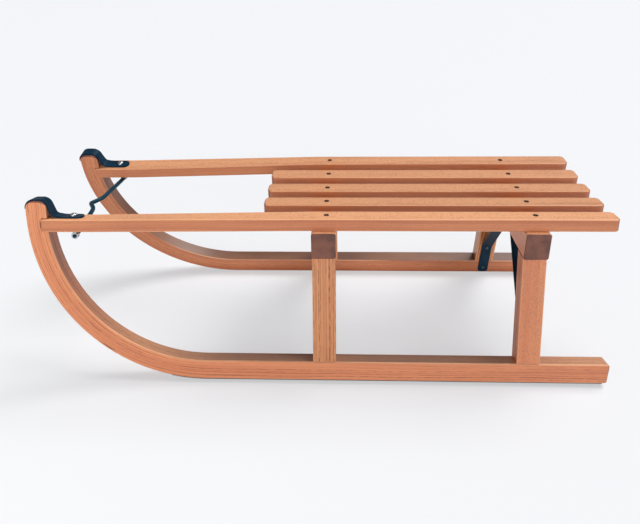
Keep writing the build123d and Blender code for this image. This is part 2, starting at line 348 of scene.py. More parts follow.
@dataclass(frozen=True)
class GrainLine:
    """A straight bar's own frame: its middle, its three directions and its two half sizes."""

    middle: Vector
    long: Vector
    wide: Vector
    thick: Vector
    half_wide: float
    half_thick: float

    def read(self, bench: Bench) -> Spot:
        """Where a point of the surface lies in the bar."""
        place, facing = bench.place(), bench.normal()
        axes = (self.long, self.wide, self.thick)
        places = [bench.along(place, axis) - self.middle.dot(axis) for axis in axes]
        faces = [bench.along(facing, axis) for axis in axes]
        return Spot(*places, abs(faces[0]), faces[1], faces[2])


@dataclass(frozen=True)
class TwistGrainLine:
    """The frame of a bar that turns from one straight frame to another between two places along X."""

    rear: GrainLine
    front: GrainLine
    rear_x: float
    front_x: float

    @property
    def half_wide(self) -> float:
        """Half of the bar's width."""
        return self.rear.half_wide

    @property
    def half_thick(self) -> float:
        """Half of the bar's thickness."""
        return self.rear.half_thick

    def read(self, bench: Bench) -> Spot:
        """Where a point of the surface lies in the bar, as GrainLine.read gives it."""
        ahead = bench.along(bench.place(), (1.0, 0.0, 0.0))
        turned = ((ahead - self.rear_x) / (self.front_x - self.rear_x)).clamped()
        pairs = zip(self.rear.read(bench).values(), self.front.read(bench).values())
        return Spot(*(rear + (front - rear) * turned for rear, front in pairs))


@dataclass(frozen=True)
class BentGrainLine:
    """A runner's own frame, which follows its bar round the bend.

    The bend's middle is at bend_x along the sled and bend_up up the leaning plane, and its radius is
    that of the bar's outer face.
    """

    lean: Lean
    side: Side
    half_wide: float = 0.0145
    half_thick: float = 0.0175
    bend_x: float = -0.201948
    bend_up: float = 0.298052
    bend_radius: float = 0.295052

    def read(self, bench: Bench) -> Spot:
        """Where a point of the surface lies in the bent bar, as GrainLine.read gives it."""
        place, facing = bench.place(), bench.normal()
        foot, inboard, up = self.lean.foot(self.side), self.lean.inboard(self.side), self.lean.up(self.side)
        ahead = bench.along(place, (1.0, 0.0, 0.0)) - self.bend_x
        above = bench.along(place, up) - (foot.dot(up) + self.bend_up)
        in_bend_x, in_bend_up = ahead.at_most(0.0), above.at_most(0.0)
        reach = in_bend_x.length_with(in_bend_up).at_least(MM)
        turned = (-in_bend_x).angle_with(-in_bend_up)
        middle_radius = self.bend_radius - self.half_thick
        along = ahead.at_least(0.0) - turned * middle_radius - above.at_least(0.0)
        wide = bench.along(place, inboard) - foot.dot(inboard)
        faces_x, faces_up = bench.along(facing, (1.0, 0.0, 0.0)), bench.along(facing, up)
        faces_end = abs(faces_up * in_bend_x - faces_x * in_bend_up) / reach
        faces_thick = -(faces_x * in_bend_x + faces_up * in_bend_up) / reach
        return Spot(along, wide, middle_radius - reach, faces_end, bench.along(facing, inboard), faces_thick)


Line = Union[GrainLine, TwistGrainLine, BentGrainLine]


@dataclass(frozen=True)
class Streak:
    """A darker streak or spot in the wood, some of them painted shade, by its place along and across a bar,
    in metres.
    """

    along: float
    wide: float
    thick: float
    half_long: float
    half_wide: float
    depth: float


@dataclass(frozen=True)
class Figure:
    """How a bar was sawn, how its figure shows and how light it is.

    Rings, streaks, flecks and the two shares of darkening of a runner's upper face go from 0 to 1, and
    the width of a ring is in metres. The tone is the lightness of the whole bar, and the top light level
    that of the painted light on its faces that look up.
    """

    cut: Cut
    rings: float
    streaks: float
    flecks: float
    ring_width: float = 2.8 * MM
    tone: float = 1.0
    bleach: float = 1.0
    grime: float = 0.0
    bend_grime: float = 0.0


@dataclass(frozen=True)
class Beech:
    """Steamed beech under thin satin lacquer: rings, streaks, ray flecks, fibres, end grain, edges paler by
    rubbed wear and painted highlight, and painted top light.
    """

    pale: Colour = srgb(220, 141, 95)
    warm: Colour = srgb(200, 118, 78)
    bleached: Colour = srgb(225, 165, 121)
    deep: Colour = srgb(140, 70, 44)
    fleck: Colour = srgb(112, 56, 36)
    end_pale: Colour = srgb(120, 71, 54)
    end_deep: Colour = srgb(62, 36, 29)
    grimy: Colour = srgb(106, 90, 84)
    rubbed: Colour = srgb(234, 176, 132)
    log_radius: float = 0.16
    log_drift: float = 0.016
    log_sway: float = 0.0016
    roughness: float = 0.42
    relief: float = 0.05 * MM
    edge: float = 1.4 * MM
    # How far from an edge the paler wood of rubbed wear and painted highlight starts, and where it is full
    rub_start: float = 2.6 * MM
    rub_full: float = 0.4 * MM
    # Soft steps along a runner: the darkening of its upper face sets in, ends, and sets in again on the bend
    grime_on: tuple[float, float] = (-0.12, 0.06)
    grime_off: tuple[float, float] = (0.55, 0.50)
    grime_bend: tuple[float, float] = (-0.56, -0.34)

    def log_place(self, spot: Spot, cut: Cut, seed: float) -> tuple[Term, Term, Term]:
        """Where a point lies in the log.

        Args:
            spot: Where it lies in its bar.
            cut: How the bar was sawn.
            seed: A number of the bar's own.

        Returns:
            The distance from the log's middle and the distance round it, in metres, and how squarely
            the surface faces away from the log's middle, from 0 to 1.
        """
        bench = spot.along.bench
        angle = math.radians(cut.value)
        drift = bench.noise((spot.along * 2.2 + seed, spot.wide * 6.0, spot.thick * 6.0), detail=1.0)
        sway = bench.noise((spot.along * 14.0, spot.wide * 30.0 + seed, spot.thick * 30.0))
        from_x = spot.wide + math.cos(angle) * self.log_radius + (drift - 0.5) * self.log_drift
        from_y = spot.thick + math.sin(angle) * self.log_radius + (sway - 0.5) * self.log_sway
        outward = from_x.length_with(from_y)
        faces_out = abs(spot.faces_wide * from_x + spot.faces_thick * from_y) / outward
        return outward, from_y.angle_with(from_x) * self.log_radius, faces_out

    def make(
        self, name: str, line: Line, figure: Figure, seed: float, marks: Iterable[Streak] = ()
    ) -> bpy.types.Material:
        """Makes the wood of one bar.

        Args:
            name: The material's name.
            line: The bar's own frame.
            figure: How the bar's figure shows.
            seed: A number of the bar's own, so that no two bars are alike.
            marks: Dark marks that this bar has, some of them painted shade.

        Returns:
            The material.
        """
        bench = Bench(name)
        spot = line.read(bench)
        along, wide, thick = spot.along, spot.wide, spot.thick
        outward, around, faces_out = self.log_place(spot, figure.cut, seed)

        years = bench.noise((seed, outward * 170.0, along * 0.4))
        ring = (outward / figure.ring_width + years * 2.4).fraction()
        dashes = bench.noise((along * 75.0, outward * 400.0 + seed, around * 400.0))
        strength = bench.noise((along * 1.1, outward * 260.0, seed)).rise(0.36, 0.60)
        late = ring.rise(0.50, 0.90) * ring.rise(1.0, 0.94) * (0.22 + dashes.rise(0.38, 0.60) * 0.78)
        late = late * (0.30 + strength * 0.70)
        bands = bench.noise((along * 1.3 + seed, outward * 95.0, around * 22.0), detail=3.0, roughness=0.55)
        threads = bench.noise((along * 2.4, outward * 330.0 + seed, around * 70.0), detail=3.0, roughness=0.6)
        fibre = bench.noise((along * 34.0, outward * 1500.0 + seed, around * 1500.0), roughness=0.6)
        clouds = bench.noise((along * 5.0 + seed, wide * 14.0, thick * 14.0))
        spindles = bench.specks((along * 150.0, outward * 50.0 + seed, around * 720.0))
        flecks = spindles.rise(0.38, 0.20) * faces_out.rise(0.50, 0.82)

        # Painted light: faces that look up get a paler colour, standing in for the sky's sheen on their
        # lacquer
        skyward = bench.along(bench.normal(), (0.0, 0.0, 1.0)).rise(0.35, 0.95)
        wood = bench.tinted(bench.blend(bands.rise(0.30, 0.72), self.pale, self.warm), figure.tone)
        bleached = tuple(channel * figure.bleach for channel in self.bleached)
        wood = bench.blend(skyward * 0.75, wood, bleached)
        wood = bench.blend(late * figure.rings + clouds.rise(0.48, 0.85) * 0.16, wood, self.deep)
        wood = bench.blend(threads.rise(0.56, 0.74) * figure.streaks, wood, self.deep)
        wood = bench.blend(flecks * figure.flecks, wood, self.fleck)
        wood = bench.tinted(wood, 0.90 + fibre * 0.20)
        # Darkens a runner's upper face under the seat and on its bend
        if figure.grime:
            wood = bench.blend(self.grime_at(spot, clouds, figure), wood, self.grimy)
        for mark in marks:
            wood = bench.blend(self.mark(mark, spot, fibre), wood, self.fleck)

        end = spot.faces_end.rise(0.35, 0.65)
        pores = bench.specks((along * 90.0, outward * 2600.0 + seed, around * 2600.0))
        crosscut = bench.blend(late * 0.45 + pores.rise(0.45, 0.15) * 0.3, self.end_pale, self.end_deep)
        blots = bench.noise((seed, wide * 42.0, thick * 42.0), detail=3.0)
        crosscut = bench.blend(blots.rise(0.35, 0.65) * 0.6, crosscut, self.end_deep)
        wood = bench.blend(end, wood, crosscut)

        # Paler long edges: partly rubbed wear, partly painted highlight
        near_wide = abs(wide).rise(line.half_wide - self.rub_start, line.half_wide - self.rub_full)
        near_thick = abs(thick).rise(line.half_thick - self.rub_start, line.half_thick - self.rub_full)
        edge_wear_highlight = near_wide * near_thick * clouds.rise(0.25, 0.55) * (1.0 - end)
        wood = bench.blend(edge_wear_highlight * 0.5, wood, self.rubbed)

        relief = 0.55 * fibre + 0.25 * (1.0 - flecks) + 0.20 * (1.0 - late)
        return bench.finish(
            Base_Color=wood,
            Roughness=self.roughness - 0.05 * fibre + 0.14 * end + 0.06 * flecks,
            Normal=bench.bump(relief, self.relief, 0.6, bench.soft_edges(self.edge)),
            Coat_Weight=0.10,
            Coat_Roughness=0.30,
            IOR=1.48,
        )

    def grime_at(self, spot: Spot, clouds: Term, figure: Figure) -> Term:
        """How much darker a runner's upper face is made, under the seat and on its bend, from 0 to 1."""
        under_seat = spot.along.rise(*self.grime_on) * spot.along.rise(*self.grime_off)
        bend_share = spot.along.rise(*self.grime_bend) * figure.bend_grime
        share = bend_share + under_seat * (figure.grime - figure.bend_grime)
        return spot.faces_thick.rise(0.5, 0.9) * share * (0.7 + clouds * 0.6)

    @staticmethod
    def mark(mark: Streak, spot: Spot, fibre: Term) -> Term:
        """How strongly a mark shows at a point, from 0 to its depth, broken up by the fibres."""
        off_long = (spot.along - mark.along) / mark.half_long
        off_wide = (spot.wide - mark.wide) / mark.half_wide
        off_thick = (spot.thick - mark.thick) / mark.half_wide
        away = off_long.length_with(off_wide).length_with(off_thick)
        return (away + 0.4 * (fibre - 0.5)).rise(1.0, 0.4) * mark.depth


@dataclass(frozen=True)
class PaintedIron:
    """Flat iron under dark semi-gloss paint, with faded patches and a few small chips."""

    paint: Colour = srgb(1, 31, 50)
    faded: Colour = srgb(7, 50, 72)
    bare: Colour = srgb(92, 104, 110)
    roughness: float = 0.36
    relief: float = 0.06 * MM
    edge: float = 0.7 * MM

    def make(self, name: str, seed: float) -> bpy.types.Material:
        """Makes the paint of one piece, with a seed of its own."""
        bench = Bench(name)
        x, y, z = bench.three()
        mottle = bench.noise((x * 60.0 + seed, y * 60.0, z * 60.0), detail=3.0)
        peel = bench.noise((x * 900.0, y * 900.0 + seed, z * 900.0))
        spots = bench.specks((x * 210.0 + seed, y * 210.0, z * 210.0))
        chips = (spots + 0.35 * (peel - 0.5)).rise(0.15, 0.09) * mottle.rise(0.52, 0.62)
        colour = bench.blend(mottle.rise(0.30, 0.75) * 0.55, self.paint, self.faded)
        colour = bench.blend(chips, colour, self.bare)
        height = 0.5 * peel + 0.5 * (1.0 - chips)
        return bench.finish(
            Base_Color=colour,
            Metallic=chips * 0.9,
            Roughness=self.roughness + 0.14 * mottle + 0.10 * chips,
            Normal=bench.bump(height, self.relief, 0.45, bench.soft_edges(self.edge)),
            Specular_IOR_Level=0.12,
        )


@dataclass(frozen=True)
class BareMetal:
    """Bare or plated metal with fine turning or rolling marks, dull patches and a little tarnish.

    Lines says how many marks there are to a metre along each axis.
    """

    bright: Colour
    dull: Colour
    stain: Colour
    roughness: float
    lines: tuple[float, float, float]
    stained: float = 0.2
    relief: float = 0.03 * MM

    def make(self, name: str, seed: float) -> bpy.types.Material:
        """Makes the metal of one kind of piece, with a seed of its own."""
        bench = Bench(name)
        x, y, z = bench.three()
        lines_x, lines_y, lines_z = self.lines
        marks = bench.noise((x * lines_x, y * lines_y + seed, z * lines_z), detail=3.0, roughness=0.6)
        patches = bench.noise((x * 130.0 + seed, y * 130.0, z * 130.0), detail=3.0)
        rust = bench.noise((x * 70.0, y * 260.0 + seed, z * 260.0), detail=4.0, roughness=0.65)
        colour = bench.blend(marks.rise(0.25, 0.75), self.bright, self.dull)
        stain = rust.rise(0.56, 0.70) * self.stained
        colour = bench.blend(stain, colour, self.stain)
        return bench.finish(
            Base_Color=colour,
            Metallic=1.0 - stain,
            Roughness=self.roughness + 0.16 * patches + 0.25 * stain,
            Normal=bench.bump(0.7 * marks + 0.3 * patches, self.relief, 0.5),
        )


@dataclass(frozen=True)
class PlainFloor:
    """A plain pale floor, the same all over, whose own colour lightens it for the camera alone."""

    colour: Colour = srgb(216, 219, 224)
    seen: Colour = srgb(248, 249, 251)
    roughness: float = 0.85
    evened: float = 0.5

    def make(self) -> bpy.types.Material:
        """Makes the floor's material."""
        bench = Bench("floor")
        bench.finish(Base_Color=self.colour, Roughness=self.roughness)
        glow = bench.node("ShaderNodeEmission", {}, {"Color": self.seen, "Strength": 1.0})
        share = bench.node("ShaderNodeLightPath", {}, {}) * self.evened
        lit = Term(bench, bench.shader.outputs["BSDF"])
        both = bench.node("ShaderNodeMixShader", {}, {0: share, 1: lit, 2: glow})
        bench.feed(bench.nodes["Material Output"].inputs["Surface"], both)
        return bench.material


def dress(piece: bpy.types.Object, material: bpy.types.Material) -> None:
    """Gives a piece its material."""
    piece.data.materials.clear()
    piece.data.materials.append(material)


def added(name: str, data: bpy.types.ID) -> bpy.types.Object:
    """Adds an object to the scene."""
    made = bpy.data.objects.new(name, data)
    bpy.context.scene.collection.objects.link(made)
    return made


def middle_of(node: str) -> Vector:
    """The middle of a node's box in the frame."""
    low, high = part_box(node)
    return (low + high) / 2


def facing(point: Vector, outward: Vector, turn: float) -> Matrix:
    """The placing of a small piece drawn with Z outward, at a point of a surface."""
    squared = outward.to_track_quat("Z", "Y").to_matrix().to_4x4()
    return Matrix.Translation(point) @ squared @ Matrix.Rotation(turn, 4, "Z")


@dataclass
class SmallParts:
    """Several like small pieces joined in one mesh.

    Flats is how many flats go round a turned form, and sharp the angle between faces from which an
    edge shows, in degrees.
    """

    name: str
    flats: int = 40
    sharp: float = 35.0
    mesh: bmesh.types.BMesh = field(default_factory=bmesh.new)

    def ring(self, corners: Iterable[tuple[float, float]], height: float, place: Matrix) -> Ring:
        """Adds a ring of corners, drawn flat at a height and then placed."""
        return [self.mesh.verts.new(place @ Vector((x, y, height))) for x, y in corners]

    def turned(self, outline: Iterable[tuple[float, float]], place: Matrix) -> list[Ring]:
        """Adds a turned form.

        Args:
            outline: Radius and height of each ring, from the foot up.
            place: Its placing.

        Returns:
            The rings of corners, from the foot up.
        """
        angles = [math.tau * flat / self.flats for flat in range(self.flats)]
        rings = []
        for radius, height in outline:
            corners = [(radius * math.cos(angle), radius * math.sin(angle)) for angle in angles]
            rings.append(self.ring(corners, height, place))
        for lower, upper in zip(rings, rings[1:]):
            self.wall(lower, upper)
        return rings

    def wall(self, lower: Ring, upper: Ring) -> None:
        """Adds the faces between two rings of as many corners."""
        count = len(lower)
        for step in range(count):
            after = (step + 1) % count
            self.mesh.faces.new((lower[step], lower[after], upper[after], upper[step]))

    def lid(self, rim: Ring, hole: Ring) -> None:
        """Adds the flat face between a rim and a hole inside it."""
        edges = []
        for ring in (rim, hole):
            for step, corner in enumerate(ring):
                pair = (corner, ring[(step + 1) % len(ring)])
                edges.append(self.mesh.edges.get(pair) or self.mesh.edges.new(pair))
        bmesh.ops.triangle_fill(self.mesh, use_beauty=True, use_dissolve=False, edges=edges)

    def done(self, material: bpy.types.Material, body: str, slot: str) -> bpy.types.Object:
        """Turns the mesh into a piece of the sled.

        Args:
            material: The piece's finish.
            body: The body that it rides on.
            slot: The record's material slot; not used.

        Returns:
            The piece.
        """
        bmesh.ops.recalc_face_normals(self.mesh, faces=self.mesh.faces)
        for edge in self.mesh.edges:
            edge.smooth = len(edge.link_faces) == 2 and edge.calc_face_angle() < math.radians(self.sharp)
        for face in self.mesh.faces:
            face.smooth = True
        data = bpy.data.meshes.new(self.name)
        self.mesh.to_mesh(data)
        self.mesh.free()
        piece = added(self.name, data)
        dress(piece, material)
        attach(piece, body)
        log.info("%s: %d faces", self.name, len(data.polygons))
        return piece


@dataclass(frozen=True)
class CrossHead:
    """A screw's head with a cross-shaped recess."""

    radius: float = 4.4 * MM
    rise: float = 0.35 * MM
    sunk: float = 0.4 * MM
    foot_share: float = 0.4
    rim: float = 0.5 * MM
    crown: float = 0.0
    crown_share: float = 0.68
    arm: float = 2.5 * MM
    arm_half: float = 0.55 * MM
    recess: float = 1.3 * MM
    taper: float = 0.45

    def cross(self) -> list[tuple[float, float]]:
        """The twelve corners of the recess at its mouth."""
        quarter = [(self.arm, -self.arm_half), (self.arm, self.arm_half), (self.arm_half, self.arm_half)]
        corners = []
        for turn in range(4):
            cosine, sine = math.cos(math.pi / 2 * turn), math.sin(math.pi / 2 * turn)
            corners += [(x * cosine - y * sine, x * sine + y * cosine) for x, y in quarter]
        return corners

    def add(self, parts: SmallParts, place: Matrix) -> None:
        """Adds one head to a joined mesh."""
        top, inner = self.rise, self.radius - self.rim
        outline = [(self.radius * self.foot_share, -self.sunk), (self.radius, -self.sunk)]
        outline += [(self.radius, top - self.rim / 2), (self.radius - self.rim / 2, top - self.rim / 8)]
        outline.append((inner, top))
        if self.crown:
            top += self.crown
            outline.append((inner * self.crown_share, top))
        rings = parts.turned(outline, place)
        parts.mesh.faces.new(reversed(rings[0]))
        corners = self.cross()
        mouth = parts.ring(corners, top, place)
        floor = parts.ring([(x * self.taper, y * self.taper) for x, y in corners], top - self.recess, place)
        parts.lid(rings[-1], mouth)
        parts.wall(mouth, floor)
        parts.mesh.faces.new(floor)


@dataclass(frozen=True)
class Hollow:
    """The seat's shallow hollow, which the beams' tops follow and the slats lie on."""

    low: float
    radius: float = 1.5

    def axes(self, y: float) -> tuple[Vector, Vector]:
        """The directions across a slat's width and up through it, for a slat at a place across the sled."""
        turn = math.asin(y / self.radius)
        return Vector((0.0, math.cos(turn), math.sin(turn))), Vector((0.0, -math.sin(turn), math.cos(turn)))

    def spot(self, x: float, y: float, above: float) -> Vector:
        """The point at a height above the hollow, square to it."""
        _, up = self.axes(y)
        return Vector((x, 0.0, self.low + self.radius)) - up * (self.radius - above)


@dataclass
class Seat:
    """The five slats with their screws."""

    hollow: Hollow
    lean: Lean
    thick: float = 0.022
    width: float = 0.034
    horn_y: float = 0.1175
    horn_z: float = 0.281
    twist_rear: float = -0.0115
    twist_front: float = -0.393
    screw_rows: tuple[float, float] = (0.0137, 0.3616)
    screw_stray: float = 1.2 * MM
    # Painted shade round each screw's sinking: its half width, and how dark it is
    sinking: float = 6.2 * MM
    sinking_depth: float = 0.9
    knot: Streak = Streak(-0.2826, -0.0165, 0.0105, 3.6 * MM, 1.7 * MM, 0.85)
    figure: Figure = Figure(Cut.FLAT, rings=0.30, streaks=0.30, flecks=0.50, tone=0.77, bleach=0.86)
    # Stronger painted light on the near slat's top
    near_bleach: float = 1.1
    # Slats from the left: name, place across, cut of the wood, seed
    slats: tuple[tuple[str, float, Cut, float], ...] = (
        ("slat_outer_left", -0.122, Cut.RIFT, 3.1),
        ("slat_inner_left", -0.061, Cut.FLAT, 11.7),
        ("slat_middle", 0.0, Cut.FLAT, 24.3),
        ("slat_inner_right", 0.061, Cut.RIFT, 37.9),
        ("slat_outer_right", 0.122, Cut.FLAT, 45.2),
    )

    def middle(self, name: str, y: float) -> Vector:
        """The middle of a slat, taken as straight from its rear end to its front end."""
        return self.hollow.spot(middle_of(name).x, y, self.thick / 2)

    def line(self, name: str, y: float) -> Line:
        """The frame of one slat. An outer slat turns from the hollow to the lean of its horn."""
        middle, long = self.middle(name, y), Vector((1.0, 0.0, 0.0))
        halves = (self.width / 2, self.thick / 2)
        rear = GrainLine(middle, long, *self.hollow.axes(y), *halves)
        if "outer" not in name:
            return rear
        side = Side.LEFT if y < 0 else Side.RIGHT
        across = self.lean.inboard(side) * -side.value
        at_horn = Vector((middle.x, side.value * self.horn_y, self.horn_z))
        front = GrainLine(at_horn, long, across, self.lean.up(side), *halves)
        return TwistGrainLine(rear, front, self.twist_rear, self.twist_front)

    def screw_spots(self, y: float, seed: float) -> list[Vector]:
        """Where the two screws of a slat are, each a little off its row."""
        spots = []
        for row, x in enumerate(self.screw_rows):
            stray = Vector((math.sin(seed + row * 2.0), math.cos(seed * 1.7 + row), 0.0)) * self.screw_stray
            spots.append(self.hollow.spot(x, y, self.thick) + stray)
        return spots

    def marks(self, name: str, y: float, seed: float) -> list[Streak]:
        """The marks of one slat: painted shade round the rims of its screws' sinkings, and a small knot that
        one slat has.
        """
        middle, (across, up) = self.middle(name, y), self.hollow.axes(y)
        offs = [spot - middle for spot in self.screw_spots(y, seed)]
        sizes = (self.sinking, self.sinking, self.sinking_depth)
        made = [Streak(off.x, off.dot(across), off.dot(up), *sizes) for off in offs]
        return made + [self.knot] if name == "slat_inner_right" else made

    def dress(self, nodes: Nodes, wood: Beech) -> None:
        """Gives every slat its own wood, and the near one stronger painted light on its top."""
        wood = replace(wood, end_pale=srgb(178, 112, 80), end_deep=srgb(120, 70, 50))
        for name, y, cut, seed in self.slats:
            figure = replace(self.figure, cut=cut)
            if name == "slat_outer_left":
                figure = replace(figure, bleach=self.near_bleach)
            beech = wood.make("beech_" + name, self.line(name, y), figure, seed, self.marks(name, y, seed))
            dress(nodes[name], beech)
            log.info("%s dressed", name)

    def screws(self, metal: bpy.types.Material) -> None:
        """Makes the sunk screws, one in each slat over each yoke."""
        parts, head = SmallParts("slat_screws"), CrossHead()
        for column, (_, y, _, seed) in enumerate(self.slats):
            for spot in self.screw_spots(y, seed):
                head.add(parts, facing(spot, self.hollow.axes(y)[1], seed + column))
        parts.done(metal, "sled", "dark_iron")


@dataclass
class Yokes:
    """The two yokes: beams, legs and braces, with the screws of the braces."""

    lean: Lean
    beam_top: float
    seeds: tuple[tuple[str, float], ...] = (("front", 51.3), ("rear", 68.8))
    beam_deep: float = 0.0415
    beam_wide: float = 0.041
    leg_wide: float = 0.040
    leg_thick: float = 0.029
    leg_middle: float = 0.135
    iron: float = 0.003
    plain: Figure = Figure(Cut.RIFT, rings=0.25, streaks=0.25, flecks=0.35)
    lined: Figure = Figure(Cut.QUARTER, rings=1.0, streaks=0.30, flecks=0.2, ring_width=3.3 * MM, tone=0.93)
    flecked: Figure = Figure(Cut.FLAT, rings=0.15, streaks=0.2, flecks=0.45, tone=0.88)
    rear_mark: Streak = Streak(-0.122, -0.0205, -0.0085, 2.2 * MM, 1.5 * MM, 0.7)
    head: CrossHead = CrossHead(
        radius=3.6 * MM, rise=0.9 * MM, rim=0.7 * MM, crown=0.45 * MM, arm=1.9 * MM, arm_half=0.45 * MM
    )
    screw_heights: tuple[float, float] = (0.0205, 0.0795)
    beam_screws: float = 0.012

    def beam_line(self, x: float) -> GrainLine:
        """The frame of a beam, which lies across the sled."""
        middle = Vector((x, 0.0, self.beam_top - self.beam_deep / 2))
        axes = Vector((0, 1, 0)), Vector((1, 0, 0)), Vector((0, 0, 1))
        return GrainLine(middle, *axes, self.beam_wide / 2, self.beam_deep / 2)

    def leg_line(self, x: float, side: Side) -> GrainLine:
        """The frame of a leg, which stands in the leaning plane."""
        up, inboard = self.lean.up(side), self.lean.inboard(side)
        middle = self.lean.foot(side) + up * self.leg_middle + Vector((x, 0.0, 0.0))
        return GrainLine(middle, up, Vector((1, 0, 0)), inboard, self.leg_wide / 2, self.leg_thick / 2)

    def dress(self, nodes: Nodes, wood: Beech, paint: PaintedIron) -> None:
        """Gives beams and legs their wood and braces their paint."""
        yellow = replace(wood, pale=srgb(214, 144, 92), warm=srgb(196, 124, 78), deep=srgb(96, 50, 28))
        for name, seed in self.seeds:
            x, marks = middle_of("beam_" + name).x, (self.rear_mark,) if name == "rear" else ()
            beam = wood.make("beech_beam_" + name, self.beam_line(x), self.plain, seed, marks)
            dress(nodes["beam_" + name], beam)
            dress(nodes["brace_" + name], paint.make("paint_brace_" + name, seed))
            for side in Side:
                lined = (side is Side.LEFT) == (name == "front")
                beech, figure = (yellow, self.lined) if lined else (wood, self.flecked)
                line = self.leg_line(x, side)
                leg = beech.make(f"beech_leg_{name}_{side.word}", line, figure, seed + 7.0 * side.value)
                dress(nodes[f"leg_{name}_{side.word}"], leg)
            log.info("%s yoke dressed", name)

    def screws(self, metal: bpy.types.Material) -> None:
        """Makes the screws of both braces: two up each side and two under the beam."""
        for name, seed in self.seeds:
            parts, x = SmallParts("brace_screws_" + name), middle_of("brace_" + name).x
            for side in Side:
                inboard, up = self.lean.inboard(side), self.lean.up(side)
                for height in self.screw_heights:
                    spot = self.lean.foot(side) + up * height + inboard * (self.leg_thick / 2 + self.iron)
                    place = facing(spot + Vector((x, 0.0, 0.0)), inboard, seed + height * 90.0)
                    self.head.add(parts, place)
                under = Vector((x, side.value * self.beam_screws, self.beam_top - self.beam_deep - self.iron))
                self.head.add(parts, facing(under, Vector((0, 0, -1)), seed * side.value))
            parts.done(metal, "sled", "bolt_steel")


@dataclass
class Runners:
    """The two bent runners with their shoes and the screws of the shoes."""

    lean: Lean
    shoe_screws: tuple[float, ...] = (0.478, 0.352, 0.224, 0.096, -0.032, -0.160)
    seeds: tuple[tuple[Side, float], ...] = ((Side.LEFT, 82.4), (Side.RIGHT, 97.6))
    ring_width: float = 3.6 * MM
    near_figure: Figure = Figure(Cut.RIFT, 0.80, 0.70, 0.35, tone=0.94, grime=0.62, bend_grime=0.36)
    far_figure: Figure = Figure(Cut.RIFT, 0.65, 0.62, 0.35, tone=0.78, grime=0.95, bend_grime=0.9)
    # The colour that darkens the far runner's upper face, under the seat and on its bend
    far_grimy: Colour = srgb(94, 61, 47)
    # The dark streaks and spots of the near runner, along its bend; the last is painted shade where the outer
    # slat's end meets the horn
    near_marks: tuple[Streak, ...] = (
        Streak(-0.1736, -0.0145, -0.0137, 19.0 * MM, 1.5 * MM, 0.95),
        Streak(-0.2140, -0.0145, 0.0015, 21.0 * MM, 1.3 * MM, 0.55),
        Streak(-0.1223, -0.0145, 0.0066, 5.0 * MM, 1.2 * MM, 0.7),
        Streak(-0.2920, -0.0145, 0.0040, 14.0 * MM, 1.0 * MM, 0.35),
        # Painted shade where the outer slat's end meets the horn
        Streak(-0.4238, -0.0145, 0.0064, 11.0 * MM, 1.7 * MM, 1.0),
    )
    head: CrossHead = CrossHead(
        radius=3.4 * MM, rise=0.2 * MM, rim=0.35 * MM, arm=1.8 * MM, arm_half=0.42 * MM
    )

    def dress(self, nodes: Nodes, wood: Beech, steel: BareMetal) -> None:
        """Gives the runners their wood and the shoes their steel."""
        for side, seed in self.seeds:
            name, line = "runner_" + side.word, BentGrainLine(self.lean, side)
            beech, figure, marks = wood, self.near_figure, self.near_marks
            if side is Side.RIGHT:
                beech, figure, marks = replace(wood, grimy=self.far_grimy), self.far_figure, ()
            figure = replace(figure, ring_width=self.ring_width)
            dress(nodes[name], beech.make("beech_" + name, line, figure, seed, marks))
            dress(nodes["shoe_" + side.word], steel.make("steel_shoe_" + side.word, seed))
            log.info("%s dressed", name)

    def screws(self, metal: bpy.types.Material) -> None:
        """Makes the sunk screws along each shoe."""
        for side in Side:
            parts, up = SmallParts("shoe_screws_" + side.word), self.lean.up(side)
            for number, x in enumerate(self.shoe_screws):
                spot = self.lean.foot(side) + Vector((x, 0.0, 0.0))
                self.head.add(parts, facing(spot, -up, number * 1.3))
            parts.done(metal, "sled", "shoe_steel")


@dataclass
class Horns:
    """What each horn carries: cap, eye bolt and nuts, and the pull bow between them."""

    lean: Lean
    cap_top: float = 0.299152
    dome_radius: float = 6.0 * MM
    dome_skirt: float = 0.8 * MM
    dome_high: float = 4.5 * MM
    dome_rings: int = 9

    def dress(self, nodes: Nodes, paint: PaintedIron, bolt: BareMetal, zinc: BareMetal) -> None:
        """Gives caps and bow their paint, and bolts and nuts their metal."""
        worn = replace(paint, paint=srgb(5, 42, 58), faded=srgb(20, 68, 86))
        dress(nodes["pull_bow"], worn.make("paint_pull_bow", seed=5.5))
        steel, yellow = bolt.make("steel_bolts", seed=2.2), zinc.make("zinc_nuts", seed=8.1)
        for side in Side:
            cap = paint.make("paint_cap_" + side.word, seed=30.0 + side.value)
            dress(nodes["horn_cap_" + side.word], cap)
            dress(nodes["eye_bolt_" + side.word], steel)
            dress(nodes["dome_nut_" + side.word], steel)
            dress(nodes["lower_nut_" + side.word], yellow)
        log.info("horns dressed")

    def domes(self, metal: bpy.types.Material) -> None:
        """Makes the smooth dome nuts that stand in for the plain ones."""
        rise = self.dome_high - self.dome_skirt
        outline = [(self.dome_radius, 0.0)]
        for ring in range(self.dome_rings):
            angle = math.pi / 2 * ring / self.dome_rings
            outline.append((self.dome_radius * math.cos(angle), self.dome_skirt + rise * math.sin(angle)))
        for side in Side:
            parts = SmallParts("dome_" + side.word)
            bolt_x = middle_of("eye_bolt_" + side.word).x
            place = self.lean.placing(side) @ Matrix.Translation((bolt_x, 0.0, self.cap_top))
            rings = parts.turned(outline, place)
            parts.mesh.faces.new(rings[-1])
            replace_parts(parts.done(metal, "sled", "bolt_steel"), "dome_nut_" + side.word)


def hang(data: bpy.types.Light, place: Vector, arrow: Vector) -> None:
    """Puts a lamp in the scene, shining along an arrow."""
    lamp = added(data.name, data)
    lamp.location = place
    lamp.rotation_euler = arrow.to_track_quat("-Z", "Y").to_euler()


